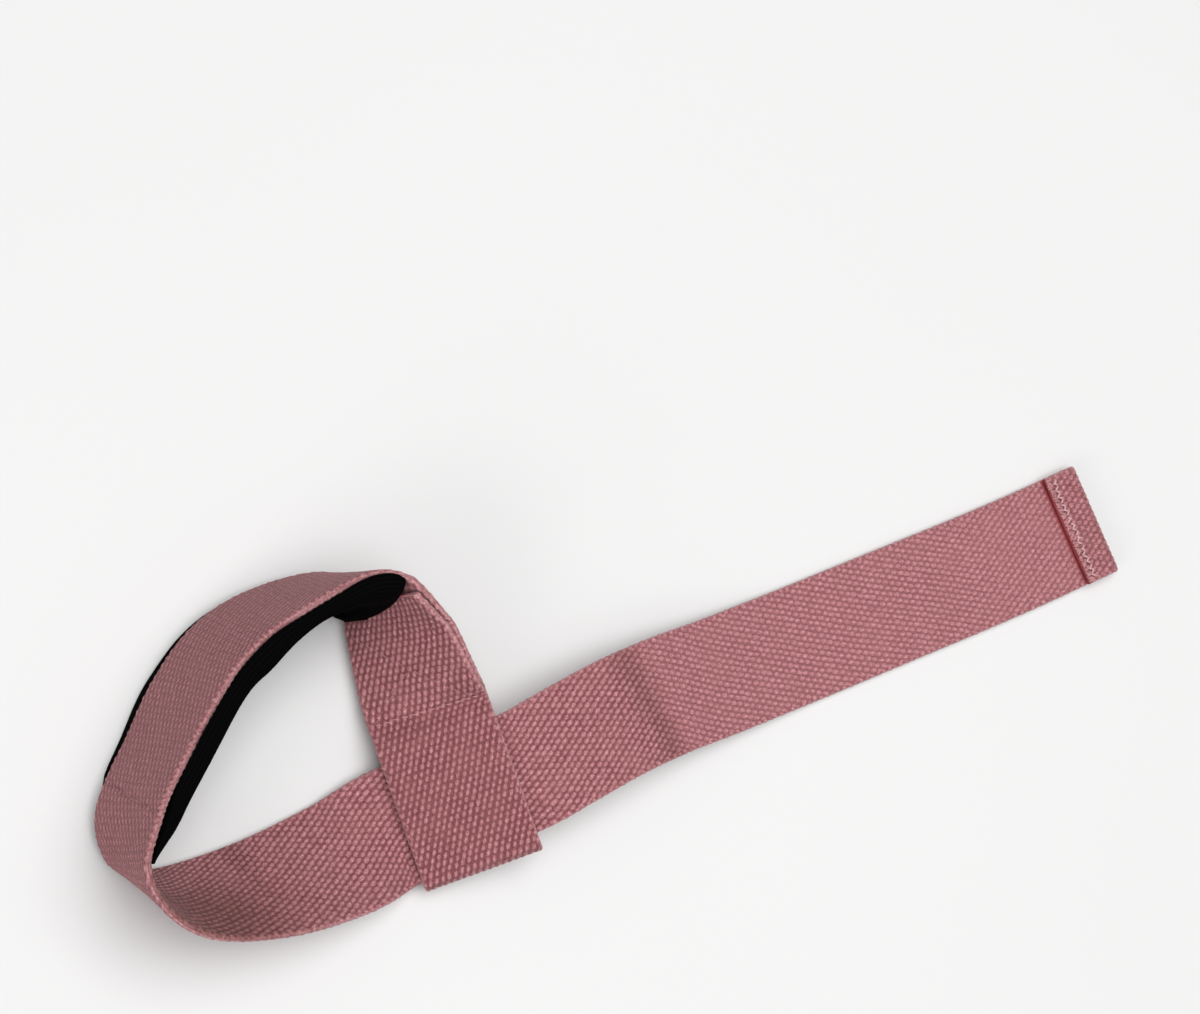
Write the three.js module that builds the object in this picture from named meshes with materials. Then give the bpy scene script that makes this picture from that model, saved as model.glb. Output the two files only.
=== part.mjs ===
import * as THREE from 'three';

// A padded weightlifting strap for one wrist, lying on a flat surface with its tail drawn through its eye.
// Lengths are in millimetres and angles in degrees. X runs along the tail, Y across it, and Z is up.

// Webbing
const WEBBING_WIDTH = 38;
const WEBBING_THICKNESS = 2.6;
const SELVEDGE_ROUND = 0.7;
const SEWN_GAP = 0.3; // between two layers that are sewn together
const SLOT_GAP = 0.4; // between the tail and each layer of the eye that it passes through

// Eye: the webbing's end is turned back on itself and sewn down past the slot
const EYE_LENGTH = 49; // from the fold to the seam
const FLAP_LENGTH = 87; // from the fold to the flap's cut end
const FOLD_SLACK = 0.4; // between the inside of the fold and the tail's edge
const SEAM_RUN = 9; // over which the flap comes down to the seam
const EYE_TILT = 16;
const EYE_PITCH = 3;
const EYE_YAW = 4;
const TAIL_YAW = 4; // the tail's direction in the eye

// Loop
const LOOP_REACH = 102; // from the eye to the far end of the loop
const LOOP_SPAN = 78; // from the tail to the top of the loop

// Tail
const TAIL_LENGTH = 239; // from the middle of the eye to the hem
const CREST_RISE = 7; // how far the tail still climbs after the eye
const HEM_LENGTH = 10;

// Pad
const PAD_LENGTH = 132;
const PAD_THICKNESS = 8;
const PAD_OVERHANG = 2; // past each selvedge of the webbing
const PAD_GAP = 0.3; // between the pad and the webbing that it is sewn to
const PAD_ROUND = 3; // radius of the pad's long edges
const PAD_END = 5; // over which each end of the pad is rounded down
const PAD_END_THICKNESS = 0.7; // share of the thickness that is left at the very end
const PAD_END_WIDTH = 0.9; // share of the width that is left at the very end
const PAD_LIFT_RUN = 25; // beyond each end of the pad, over which its overhang stops lifting the webbing

// Fineness of the mesh
const SECTION_STEP = 3.5;
const FOLD_SECTIONS = 8;
const PAD_END_SECTIONS = 4;
const ROUND_SIDES = 3;
const STRAIGHT_STATIONS = 4;
const LINE_STEPS = 40; // between two stations, to measure the middle line's length

const HALF_WIDTH = WEBBING_WIDTH / 2;
const HALF_THICKNESS = WEBBING_THICKNESS / 2;
const SEWN_STEP = WEBBING_THICKNESS + SEWN_GAP;
const SLOT_STEP = WEBBING_THICKNESS + SLOT_GAP;
const PAD_HALF_WIDTH = HALF_WIDTH + PAD_OVERHANG;
const PAD_BOTTOM = HALF_THICKNESS + PAD_GAP;
const PAD_TOP = PAD_BOTTOM + PAD_THICKNESS;
const PAD_START = FLAP_LENGTH + SEWN_GAP; // distances along the webbing from the fold
const PAD_FINISH = PAD_START + PAD_LENGTH;

// The loop after the eye: reach and span are shares of the loop's, and lean is the angle of the
// webbing's width over the surface.
const loopRows = [
  { reach: -0.025, span: 0.485, lean: 36 },
  { reach: -0.03, span: 0.7, lean: 54 },
  { reach: -0.01, span: 0.885, lean: 79 },
  { reach: 0.095, span: 0.98, lean: 99 },
  { reach: 0.34, span: 0.985, lean: 110 },
  { reach: 0.52, span: 0.94, lean: 111 },
  { reach: 0.67, span: 0.835, lean: 110 },
  { reach: 0.81, span: 0.69, lean: 109 },
  { reach: 0.96, span: 0.5, lean: 106 },
  { reach: 1.02, span: 0.31, lean: 89 },
  { reach: 0.985, span: 0.18, lean: 71 },
  { reach: 0.85, span: 0.07, lean: 53 },
  { reach: 0.63, span: 0, lean: 35 },
  { reach: 0.39, span: -0.02, lean: 17 },
];

// The tail after the eye: along is a share of its length, aside a share of the webbing's width, and
// rise a share of the crest's height over the surface.
const tailRows = [
  { along: 0.155, aside: 0.035, rise: 1 },
  { along: 0.235, aside: 0.065, rise: 0.88 },
  { along: 0.315, aside: 0.055, rise: 0.6 },
  { along: 0.395, aside: 0.015, rise: 0.3 },
  { along: 0.475, aside: -0.015, rise: 0.1 },
  { along: 0.555, aside: -0.04, rise: 0 },
  { along: 0.68, aside: -0.07, rise: 0 },
  { along: 0.8, aside: -0.1, rise: 0 },
  { along: 0.9, aside: -0.115, rise: 0 },
  { along: 1, aside: -0.115, rise: 0 },
];

const up = new THREE.Vector3(0, 0, 1);
const radians = THREE.MathUtils.degToRad;

// The eye's own frame: X along the tail that passes through it, Y from the fold to the seam.
const eyeTurn = new THREE.Quaternion().setFromEuler(
  new THREE.Euler(radians(EYE_PITCH), -radians(EYE_TILT), -radians(EYE_YAW), 'ZYX'),
);
const crossing = new THREE.Vector3();

function inEye(x, y, z) {
  return new THREE.Vector3(x, y, z).applyQuaternion(eyeTurn).add(crossing);
}

// The fold is as near as the tail's edge lets it come. Places along the eye are from the crossing.
const tailTurn = radians(TAIL_YAW);
const tailReach = HALF_WIDTH * (Math.cos(tailTurn) + Math.sin(tailTurn));
const FOLD_AT = -(tailReach + FOLD_SLACK - (SLOT_STEP - HALF_THICKNESS));
const SEAM_AT = FOLD_AT + EYE_LENGTH;
const STRAIGHT_END = SEAM_AT - SEAM_RUN / 2;

// The crossing is as high as the lower layer of the eye needs, with its lowest corner on the surface.
const eyeUnderside = -SLOT_STEP - HALF_THICKNESS;
const lowestCorner = Math.min(
  ...[FOLD_AT, SEAM_AT].map((y) => inEye(-HALF_WIDTH, y, eyeUnderside).z),
);
crossing.z = -lowestCorner;

// How high the middle of the webbing is when its lower edge, or the pad's, lies on the surface.
function restingHeight(lean, padded) {
  const sine = Math.sin(lean);
  const cosine = Math.cos(lean);
  const webbing = HALF_WIDTH * sine + HALF_THICKNESS * Math.abs(cosine);
  const padCorner = cosine < 0 ? PAD_TOP - PAD_ROUND : PAD_BOTTOM + PAD_ROUND;
  const pad = (PAD_HALF_WIDTH - PAD_ROUND) * sine - padCorner * cosine + PAD_ROUND;
  return THREE.MathUtils.lerp(webbing, Math.max(pad, webbing), padded);
}

// A station is a place on the middle line of the webbing with its lean. Where the webbing runs straight
// it also holds the step to the next station, which keeps the curve on that straight.
function straightStations(from, to, across) {
  const step = to.clone().sub(from).divideScalar(STRAIGHT_STATIONS - 1);
  const direction = step.clone().normalize();
  const level = direction.clone().cross(up).normalize();
  const upright = level.clone().cross(direction);
  const lean = Math.atan2(across.dot(upright), across.dot(level));
  return Array.from({ length: STRAIGHT_STATIONS }, (_, i) => ({
    place: from.clone().addScaledVector(step, i),
    lean,
    step,
  }));
}

function eyeStations() {
  const across = inEye(1, 0, 0).sub(crossing);
  return straightStations(inEye(0, FOLD_AT, -SLOT_STEP), inEye(0, STRAIGHT_END, -SLOT_STEP), across);
}

function loopStations() {
  let before = inEye(0, STRAIGHT_END, -SLOT_STEP);
  let distance = STRAIGHT_END - FOLD_AT;
  return loopRows.map((row) => {
    const lean = radians(row.lean);
    const place = new THREE.Vector3(-row.reach * LOOP_REACH, row.span * LOOP_SPAN, restingHeight(lean, 0));
    distance += place.distanceTo(before);
    before = place.clone();
    const padded =
      THREE.MathUtils.smoothstep(distance, PAD_START - PAD_LIFT_RUN, PAD_START) -
      THREE.MathUtils.smoothstep(distance, PAD_FINISH, PAD_FINISH + PAD_LIFT_RUN);
    place.z = restingHeight(lean, padded);
    return { place, lean };
  });
}

function crossingStations() {
  const reach = HALF_WIDTH + SLOT_STEP;
  const from = inEye(-reach * Math.cos(tailTurn), -reach * Math.sin(tailTurn), 0);
  const to = inEye(reach * Math.cos(tailTurn), reach * Math.sin(tailTurn), 0);
  const across = inEye(Math.sin(tailTurn), -Math.cos(tailTurn), 0).sub(crossing);
  return straightStations(from, to, across);
}

function tailStations() {
  const crest = crossing.z + CREST_RISE;
  return tailRows.map(({ along, aside, rise }) => ({
    place: new THREE.Vector3(
      along * TAIL_LENGTH,
      aside * WEBBING_WIDTH,
      THREE.MathUtils.lerp(HALF_THICKNESS, crest, rise),
    ),
    lean: 0,
  }));
}

const stations = [...eyeStations(), ...loopStations(), ...crossingStations(), ...tailStations()];

// Slope of a value at the middle one of three stations, flat where it turns or levels out.
function calmSlope(before, here, after) {
  const rise = here - before;
  const next = after - here;
  return rise * next > 0 ? (2 * rise * next) / (rise + next) : 0;
}

function stationSlope(i) {
  const here = stations[i];
  if (here.step) {
    return { place: here.step, lean: 0 };
  }
  const before = stations[i - 1];
  const after = stations[i + 1] ?? here;
  const place = after.place.clone().sub(before.place).divideScalar(after === here ? 1 : 2);
  place.z = calmSlope(before.place.z, here.place.z, after.place.z);
  return { place, lean: calmSlope(before.lean, here.lean, after.lean) };
}

function hermite(a, slopeA, b, slopeB, u) {
  const share = THREE.MathUtils.smoothstep(u, 0, 1);
  const bow = u * (1 - u);
  return THREE.MathUtils.lerp(a, b, share) + bow * (slopeA * (1 - u) - slopeB * u);
}

function middleLine(t) {
  const i = Math.min(Math.floor(t), stations.length - 2);
  const u = t - i;
  const [a, b] = [stations[i], stations[i + 1]];
  const [slopeA, slopeB] = [stationSlope(i), stationSlope(i + 1)];
  const place = new THREE.Vector3();
  for (const axis of ['x', 'y', 'z']) {
    place[axis] = hermite(a.place[axis], slopeA.place[axis], b.place[axis], slopeB.place[axis], u);
  }
  return { place, lean: hermite(a.lean, slopeA.lean, b.lean, slopeB.lean, u) };
}

// Distance along the middle line at even steps of its parameter.
const lineMarks = [{ t: 0, distance: 0, place: middleLine(0).place }];
for (let k = 1; k <= (stations.length - 1) * LINE_STEPS; k += 1) {
  const t = k / LINE_STEPS;
  const before = lineMarks.at(-1);
  const { place } = middleLine(t);
  lineMarks.push({ t, distance: before.distance + place.distanceTo(before.place), place });
}
const webbingLength = lineMarks.at(-1).distance;

// The webbing's frame at a distance along its middle line: across points to one selvedge, and inward to
// the side of the loop that faces the wrist.
function frameAt(distance) {
  const i = Math.max(lineMarks.findIndex((mark) => mark.distance >= distance), 1);
  const [a, b] = [lineMarks[i - 1], lineMarks[i]];
  const t = THREE.MathUtils.mapLinear(distance, a.distance, b.distance, a.t, b.t);
  const { place, lean } = middleLine(t);
  const travel = b.place.clone().sub(a.place).normalize();
  const level = travel.clone().cross(up).normalize();
  const upright = level.clone().cross(travel);
  const across = level.multiplyScalar(Math.cos(lean)).addScaledVector(upright, Math.sin(lean));
  return { place, across, inward: across.clone().cross(travel), distance };
}

// All layers share the sections of one list, so that they stay evenly apart where the webbing twists.
const padEndSteps = Array.from({ length: PAD_END_SECTIONS + 1 }, (_, i) => {
  return PAD_END * (1 - Math.cos((Math.PI * i) / 2 / PAD_END_SECTIONS));
});
const keptDistances = [
  0,
  EYE_LENGTH - SEAM_RUN,
  EYE_LENGTH,
  FLAP_LENGTH,
  ...padEndSteps.map((step) => PAD_START + step),
  ...padEndSteps.map((step) => PAD_FINISH - step).reverse(),
  webbingLength - HEM_LENGTH,
  webbingLength,
];
const distances = [0];
for (const next of keptDistances.slice(1)) {
  const from = distances.at(-1);
  const count = Math.ceil((next - from) / SECTION_STEP);
  for (let k = 1; k <= count; k += 1) {
    distances.push(from + ((next - from) * k) / count);
  }
}
const frames = distances.map(frameAt);

function framesBetween(from, to) {
  const near = SEWN_GAP / 2;
  return frames.filter(({ distance }) => distance > from - near && distance < to + near);
}

// The middle layer of the webbing, and a layer that is turned back on its inward side. A section's
// width and thickness point along across and thick, and it is swept towards thick cross across. Turned
// sections have their squares split the other way, to match the layer that they lie on.
function mainSections() {
  return frames.map(({ place, across, inward }) => ({ centre: place, across, thick: inward, turned: false }));
}

function turnedSections(from, to, offset) {
  const sections = framesBetween(from, to).map(({ place, across, inward, distance }) => ({
    centre: place.clone().addScaledVector(inward, offset(distance)),
    across,
    thick: inward.clone().negate(),
    turned: true,
  }));
  return sections.reverse();
}

// Half a turn round the webbing's width: outward is the way the fold bulges.
function foldSections(frame, radius, outward) {
  const centre = frame.place.clone().addScaledVector(frame.inward, radius);
  return Array.from({ length: FOLD_SECTIONS - 1 }, (_, i) => {
    const angle = (Math.PI * (i + 1)) / FOLD_SECTIONS;
    const spoke = frame.inward
      .clone()
      .multiplyScalar(-Math.cos(angle))
      .addScaledVector(outward, Math.sin(angle));
    return {
      centre: centre.clone().addScaledVector(spoke, radius),
      across: frame.across,
      thick: spoke.negate(),
      turned: false,
    };
  });
}

function flapOffset(distance) {
  const share = THREE.MathUtils.smoothstep(distance, EYE_LENGTH - SEAM_RUN, EYE_LENGTH);
  return THREE.MathUtils.lerp(2 * SLOT_STEP, SEWN_STEP, share);
}

// The ring of corners of one section, round its own centre. Points are [across, thick].
function webbingRing() {
  const [w, t, r] = [HALF_WIDTH, HALF_THICKNESS, SELVEDGE_ROUND];
  return [
    [w, -(t - r)], [w, t - r], [w - r, t], [-(w - r), t],
    [-w, t - r], [-w, -(t - r)], [-(w - r), -t], [w - r, -t],
  ];
}

function ringPoints({ centre, across, thick }, ring) {
  return ring.map(([a, t]) => centre.clone().addScaledVector(across, a).addScaledVector(thick, t));
}

// Closed mesh through sections whose rings have the same number of corners, each going round from
// across to thick.
function sweep(sections, ringOf) {
  const rings = sections.map((section) => ringPoints(section, ringOf(section)));
  const sides = rings[0].length;
  const faces = [];
  for (let i = 0; i < rings.length - 1; i += 1) {
    for (let k = 0; k < sides; k += 1) {
      const next = (k + 1) % sides;
      const [a, b, c, d] = [i * sides + k, i * sides + next, (i + 1) * sides + k, (i + 1) * sides + next];
      faces.push(...(sections[i].turned ? [a, c, d, a, d, b] : [a, c, b, b, c, d]));
    }
  }
  const end = (rings.length - 1) * sides;
  for (let k = 1; k < sides - 1; k += 1) {
    faces.push(0, k, k + 1, end, end + k + 1, end + k);
  }
  const geometry = new THREE.BufferGeometry();
  const points = rings.flat().flatMap((point) => point.toArray());
  geometry.setAttribute('position', new THREE.Float32BufferAttribute(points, 3));
  geometry.setIndex(faces);
  geometry.computeVertexNormals();
  return geometry;
}

function webbingGeometry() {
  const start = frames[0];
  const end = frames.at(-1);
  const eyeOutward = start.across.clone().cross(start.inward);
  const hemOutward = end.inward.clone().cross(end.across);
  const ring = webbingRing();
  const sections = [
    ...turnedSections(0, FLAP_LENGTH, flapOffset),
    ...foldSections(start, SLOT_STEP, eyeOutward).reverse(),
    ...mainSections(),
    ...foldSections(end, SEWN_STEP / 2, hemOutward),
    ...turnedSections(webbingLength - HEM_LENGTH, webbingLength, () => SEWN_STEP),
  ];
  return sweep(sections, () => ring);
}

// The pad's section: flat on the webbing, with round long edges and a slight crown.
function padRing(width, thickness) {
  const round = Math.min(PAD_ROUND, thickness / 2);
  const corner = (centreA, centreT, from) => Array.from({ length: ROUND_SIDES + 1 }, (_, i) => {
    const angle = radians(from + (90 * i) / ROUND_SIDES);
    return [centreA + round * Math.cos(angle), centreT + round * Math.sin(angle)];
  });
  return [
    ...corner(width - round, PAD_BOTTOM + round, -90),
    ...corner(width - round, PAD_BOTTOM + thickness - round, 0),
    ...corner(-(width - round), PAD_BOTTOM + thickness - round, 90),
    ...corner(-(width - round), PAD_BOTTOM + round, 180),
  ];
}

function padGeometry() {
  const sections = framesBetween(PAD_START, PAD_FINISH).map(({ place, across, inward, distance }) => {
    const toEnd = Math.min(distance - PAD_START, PAD_FINISH - distance, PAD_END) / PAD_END;
    const swell = Math.sqrt(Math.max(1 - (1 - toEnd) ** 2, 0));
    return { centre: place, across, thick: inward, turned: true, swell };
  });
  return sweep(sections, ({ swell }) => {
    const width = PAD_HALF_WIDTH * THREE.MathUtils.lerp(PAD_END_WIDTH, 1, swell);
    const thickness = PAD_THICKNESS * THREE.MathUtils.lerp(PAD_END_THICKNESS, 1, swell);
    return padRing(width, thickness);
  });
}

function solid(name, geometry, color, roughness) {
  const mesh = new THREE.Mesh(geometry, new THREE.MeshStandardMaterial({ color, roughness, metalness: 0 }));
  mesh.name = name;
  return mesh;
}

const strap = new THREE.Group();
strap.add(
  solid('webbing_strap', webbingGeometry(), '#c07880', 0.9),
  solid('wrist_pad', padGeometry(), '#121113', 0.95),
);

// The origin is the middle of the strap's box, on the surface that it lies on.
const box = new THREE.Box3().setFromObject(strap);
const middle = box.getCenter(new THREE.Vector3());
strap.position.set(-middle.x, -middle.y, -box.min.z);

export default strap;
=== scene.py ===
import math

import bpy
import numpy as np
from mathutils import Matrix, Vector


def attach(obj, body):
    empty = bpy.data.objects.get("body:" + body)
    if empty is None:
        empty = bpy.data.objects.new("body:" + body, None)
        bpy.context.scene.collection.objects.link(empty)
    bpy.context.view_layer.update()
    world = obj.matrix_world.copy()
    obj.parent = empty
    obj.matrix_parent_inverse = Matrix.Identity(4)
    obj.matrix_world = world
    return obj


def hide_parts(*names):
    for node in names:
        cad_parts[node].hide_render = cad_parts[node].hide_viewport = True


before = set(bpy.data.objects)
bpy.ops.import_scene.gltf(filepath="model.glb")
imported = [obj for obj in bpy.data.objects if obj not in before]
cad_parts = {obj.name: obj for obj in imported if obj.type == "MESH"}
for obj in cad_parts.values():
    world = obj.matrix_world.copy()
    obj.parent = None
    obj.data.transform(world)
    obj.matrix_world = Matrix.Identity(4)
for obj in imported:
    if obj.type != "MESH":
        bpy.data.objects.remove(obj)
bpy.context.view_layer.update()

# The strap's sizes, in millimetres and degrees, as the part's source has them. X runs along the tail.
MM = 0.001
WEBBING_WIDTH = 38
WEBBING_THICKNESS = 2.6
SEWN_GAP = 0.3
SLOT_GAP = 0.4
EYE_LENGTH = 49
FLAP_LENGTH = 87
FOLD_SLACK = 0.4
SEAM_RUN = 9
EYE_TILT = 16
EYE_PITCH = 3
EYE_YAW = 4
TAIL_YAW = 4
LOOP_REACH = 102
LOOP_SPAN = 78
TAIL_LENGTH = 239
CREST_RISE = 7
HEM_LENGTH = 10
PAD_LENGTH = 132
PAD_THICKNESS = 8
PAD_OVERHANG = 2
PAD_GAP = 0.3
PAD_ROUND = 3
PAD_LIFT_RUN = 25
STRAIGHT_STATIONS = 4
LINE_STEPS = 60

HALF_WIDTH = WEBBING_WIDTH / 2
HALF_THICKNESS = WEBBING_THICKNESS / 2
SEWN_STEP = WEBBING_THICKNESS + SEWN_GAP
SLOT_STEP = WEBBING_THICKNESS + SLOT_GAP
PAD_HALF_WIDTH = HALF_WIDTH + PAD_OVERHANG
PAD_BOTTOM = HALF_THICKNESS + PAD_GAP
PAD_TOP = PAD_BOTTOM + PAD_THICKNESS
PAD_START = FLAP_LENGTH + SEWN_GAP
PAD_FINISH = PAD_START + PAD_LENGTH
UP = np.array([0.0, 0.0, 1.0])

# The row's origin is the middle of the strap's box, and the path's is the middle of the crossing
OFFSET = np.array([-67.533, -29.947, 0.0])

# (reach, span, lean) of the loop after the eye. Six rows on its far side follow the photograph a little
# closer than those of the part's source.
LOOP_ROWS = [
    (-0.025, 0.485, 36),
    (-0.03, 0.7, 54),
    (-0.01, 0.885, 79),
    (0.095, 0.98, 99),
    (0.34, 0.985, 110),
    (0.51, 0.93, 113),
    (0.65, 0.82, 113),
    (0.785, 0.675, 111),
    (0.938, 0.495, 110),
    (1.003, 0.31, 96),
    (0.972, 0.18, 76),
    (0.85, 0.07, 53),
    (0.63, 0, 35),
    (0.39, -0.02, 17),
]

# (along, aside, rise) of the tail after the eye
TAIL_ROWS = [
    (0.155, 0.035, 1),
    (0.235, 0.065, 0.88),
    (0.315, 0.055, 0.6),
    (0.395, 0.015, 0.3),
    (0.475, -0.015, 0.1),
    (0.555, -0.04, 0),
    (0.68, -0.07, 0),
    (0.8, -0.1, 0),
    (0.9, -0.115, 0),
    (1, -0.115, 0),
]


def unit(v):
    return v / np.linalg.norm(v, axis=-1, keepdims=True)


def lerp(a, b, share):
    return a + (b - a) * share


def smoothstep(x, low, high):
    share = np.clip((x - low) / (high - low), 0, 1)
    return share * share * (3 - 2 * share)


def plateau(x, rise, fall):
    """1 between two slopes and 0 beyond them. Each slope is given by its start and its end."""
    return smoothstep(x, *rise) * (1 - smoothstep(x, *fall))


def hump(x, middle, reach):
    """A smooth hump, 1 high, round a middle."""
    return np.exp(-(((x - middle) / reach) ** 2))


# The middle line of the webbing, station by station


def eye_turn():
    about_x = Matrix.Rotation(math.radians(EYE_PITCH), 3, "X")
    about_y = Matrix.Rotation(-math.radians(EYE_TILT), 3, "Y")
    about_z = Matrix.Rotation(-math.radians(EYE_YAW), 3, "Z")
    return np.array(about_z @ about_y @ about_x)


EYE = eye_turn()
TAIL_TURN = math.radians(TAIL_YAW)
FOLD_REACH = HALF_WIDTH * (math.cos(TAIL_TURN) + math.sin(TAIL_TURN)) + FOLD_SLACK
FOLD_AT = SLOT_STEP - HALF_THICKNESS - FOLD_REACH
SEAM_AT = FOLD_AT + EYE_LENGTH
STRAIGHT_END = SEAM_AT - SEAM_RUN / 2
EYE_CORNERS = [EYE @ [-HALF_WIDTH, y, -SLOT_STEP - HALF_THICKNESS] for y in (FOLD_AT, SEAM_AT)]
CROSSING_HEIGHT = -min(corner[2] for corner in EYE_CORNERS)


def in_eye(x, y, z):
    return EYE @ np.array([x, y, z]) + np.array([0, 0, CROSSING_HEIGHT])


def resting_height(lean, padded):
    sine, cosine = math.sin(lean), math.cos(lean)
    webbing = HALF_WIDTH * sine + HALF_THICKNESS * abs(cosine)
    corner = PAD_TOP - PAD_ROUND if cosine < 0 else PAD_BOTTOM + PAD_ROUND
    pad = (PAD_HALF_WIDTH - PAD_ROUND) * sine - corner * cosine + PAD_ROUND
    return lerp(webbing, max(pad, webbing), padded)


def straight_stations(start, stop, across):
    step = (stop - start) / (STRAIGHT_STATIONS - 1)
    level = unit(np.cross(unit(step), UP))
    upright = np.cross(level, unit(step))
    lean = math.atan2(across @ upright, across @ level)
    return [(start + step * i, lean, step) for i in range(STRAIGHT_STATIONS)]


def loop_stations():
    before = in_eye(0, STRAIGHT_END, -SLOT_STEP)
    distance = STRAIGHT_END - FOLD_AT
    found = []
    for reach, span, degrees in LOOP_ROWS:
        lean = math.radians(degrees)
        place = np.array([-reach * LOOP_REACH, span * LOOP_SPAN, resting_height(lean, 0)])
        distance += float(np.linalg.norm(place - before))
        before = place.copy()
        padded = smoothstep(distance, PAD_START - PAD_LIFT_RUN, PAD_START)
        padded -= smoothstep(distance, PAD_FINISH, PAD_FINISH + PAD_LIFT_RUN)
        place[2] = resting_height(lean, padded)
        found.append((place, lean, None))
    return found


def all_stations():
    eye = straight_stations(in_eye(0, FOLD_AT, -SLOT_STEP), in_eye(0, STRAIGHT_END, -SLOT_STEP), EYE[:, 0])
    reach = HALF_WIDTH + SLOT_STEP
    along, aside = reach * math.cos(TAIL_TURN), reach * math.sin(TAIL_TURN)
    across = EYE @ [math.sin(TAIL_TURN), -math.cos(TAIL_TURN), 0]
    crossing = straight_stations(in_eye(-along, -aside, 0), in_eye(along, aside, 0), across)
    crest = CROSSING_HEIGHT + CREST_RISE
    tail = [
        (np.array([share * TAIL_LENGTH, side * WEBBING_WIDTH, lerp(HALF_THICKNESS, crest, rise)]), 0.0, None)
        for share, side, rise in TAIL_ROWS
    ]
    return eye + loop_stations() + crossing + tail


def calm_slope(before, here, after):
    rise, following = here - before, after - here
    return 2 * rise * following / (rise + following) if rise * following > 0 else 0.0


def middle_line():
    """Places, leans, directions and distances along the webbing, closely spaced."""
    stations = all_stations()
    values = np.array([[*place, lean] for place, lean, _ in stations])
    slopes = np.zeros_like(values)
    last = len(stations) - 1
    for i, (_, _, step) in enumerate(stations):
        if step is not None:
            slopes[i, :3] = step
            continue
        j = min(i + 1, last)
        slopes[i, :3] = (values[j, :3] - values[i - 1, :3]) / (1 if j == i else 2)
        slopes[i, 2] = calm_slope(values[i - 1, 2], values[i, 2], values[j, 2])
        slopes[i, 3] = calm_slope(values[i - 1, 3], values[i, 3], values[j, 3])
    t = np.linspace(0, last, last * LINE_STEPS + 1)
    i = np.minimum(t.astype(int), last - 1)
    u = (t - i)[:, None]
    share = u * u * (3 - 2 * u)
    bow = u * (1 - u)
    line = lerp(values[i], values[i + 1], share) + bow * (slopes[i] * (1 - u) - slopes[i + 1] * u)
    steps = np.linalg.norm(np.diff(line[:, :3], axis=0), axis=1)
    distance = np.concatenate([[0], np.cumsum(steps)])
    travel = unit(np.gradient(line[:, :3], distance, axis=0))
    return line[:, :3], line[:, 3], travel, distance


LINE, LEAN, TRAVEL, DISTANCE = middle_line()
LEVEL = unit(np.cross(TRAVEL, UP))
ACROSS = np.cos(LEAN)[:, None] * LEVEL + np.sin(LEAN)[:, None] * np.cross(LEVEL, TRAVEL)
INWARD = np.cross(ACROSS, TRAVEL)
MAIN_LENGTH = float(DISTANCE[-1])


def on_line(values, d):
    return np.stack([np.interp(d, DISTANCE, values[:, k]) for k in range(3)], axis=1)


# The webbing as one band, from the flap's cut end to the hem's. Its thick side, towards which
# thickness counts, faces the inside of both folds and the wrist.
FOLD_ARC = math.pi * SLOT_STEP
HEM_ARC = math.pi * SEWN_STEP / 2
MAIN_AT = FLAP_LENGTH + FOLD_ARC
HEM_AT = MAIN_AT + MAIN_LENGTH
BAND_LENGTH = HEM_AT + HEM_ARC + HEM_LENGTH


def band(q):
    """Centre, width and thickness directions of the band at distances from the flap's cut end."""
    q = np.asarray(q, float)
    in_flap, in_fold = q < FLAP_LENGTH, (q >= FLAP_LENGTH) & (q < MAIN_AT)
    in_turn, in_hem = (q > HEM_AT) & (q <= HEM_AT + HEM_ARC), q > HEM_AT + HEM_ARC
    d = np.clip(q - MAIN_AT, 0, MAIN_LENGTH)
    d = np.where(in_flap, FLAP_LENGTH - q, d)
    d = np.where(in_hem, MAIN_LENGTH - (q - HEM_AT - HEM_ARC), d)
    place, across, inward = on_line(LINE, d), unit(on_line(ACROSS, d)), unit(on_line(INWARD, d))
    travel = np.cross(inward, across)
    seam = smoothstep(d, EYE_LENGTH - SEAM_RUN, EYE_LENGTH)
    offset = np.where(in_flap, lerp(2 * SLOT_STEP, SEWN_STEP, seam), 0)
    offset = np.where(in_hem, SEWN_STEP, offset)
    thick = np.where((in_flap | in_hem)[:, None], -inward, inward)
    centre = place + inward * offset[:, None]
    turn = np.where(in_fold, math.pi - (q - FLAP_LENGTH) / SLOT_STEP, 0)
    turn = np.where(in_turn, (q - HEM_AT) / (SEWN_STEP / 2), turn)
    radius = np.where(in_fold, SLOT_STEP, SEWN_STEP / 2)
    outward = np.where(in_fold[:, None], -travel, travel)
    spoke = outward * np.sin(turn)[:, None] - inward * np.cos(turn)[:, None]
    folded = (in_fold | in_turn)[:, None]
    centre = np.where(folded, place + (inward + spoke) * radius[:, None], centre)
    thick = np.where(folded, -spoke, thick)
    return centre, across, thick


# Weave: oval floats in rows along the band, every other row set off by half a float. The floats lie
# slantwise over the rows, clockwise at the eye and in mid-tail, and the other way elsewhere.
FLOAT_PITCH = 4.0
ROW_PITCH = 1.0425
RELIEF = 0.46
MEAN_RELIEF = 0.6
WANDER_ALONG = 0.55
WANDER_ASIDE = 0.22
FANNING = 0.035
FLOAT_JOG = 0.32
ROW_JOG = 0.2
CROWN_REACH = 1.04
CROWN_POWER = 0.75
CROWN_TILT = 0.2
SMALLEST_SIZE = 0.9
SIZE_SPREAD = 0.2
LOWEST_FLOAT = 0.76
HEIGHT_SPREAD = 0.24

# The selvedge: a cord that takes over from the weave between two distances from the band's edge
SELVEDGE_FROM = 1.6
SELVEDGE_FULL = 0.6
SELVEDGE_RELIEF = 0.25
CORD_PITCH = 2.2
CORD_SLANT = 3.2
SCALLOP_PITCH = 4.4
EDGE_SCALLOP = 0.05

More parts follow.
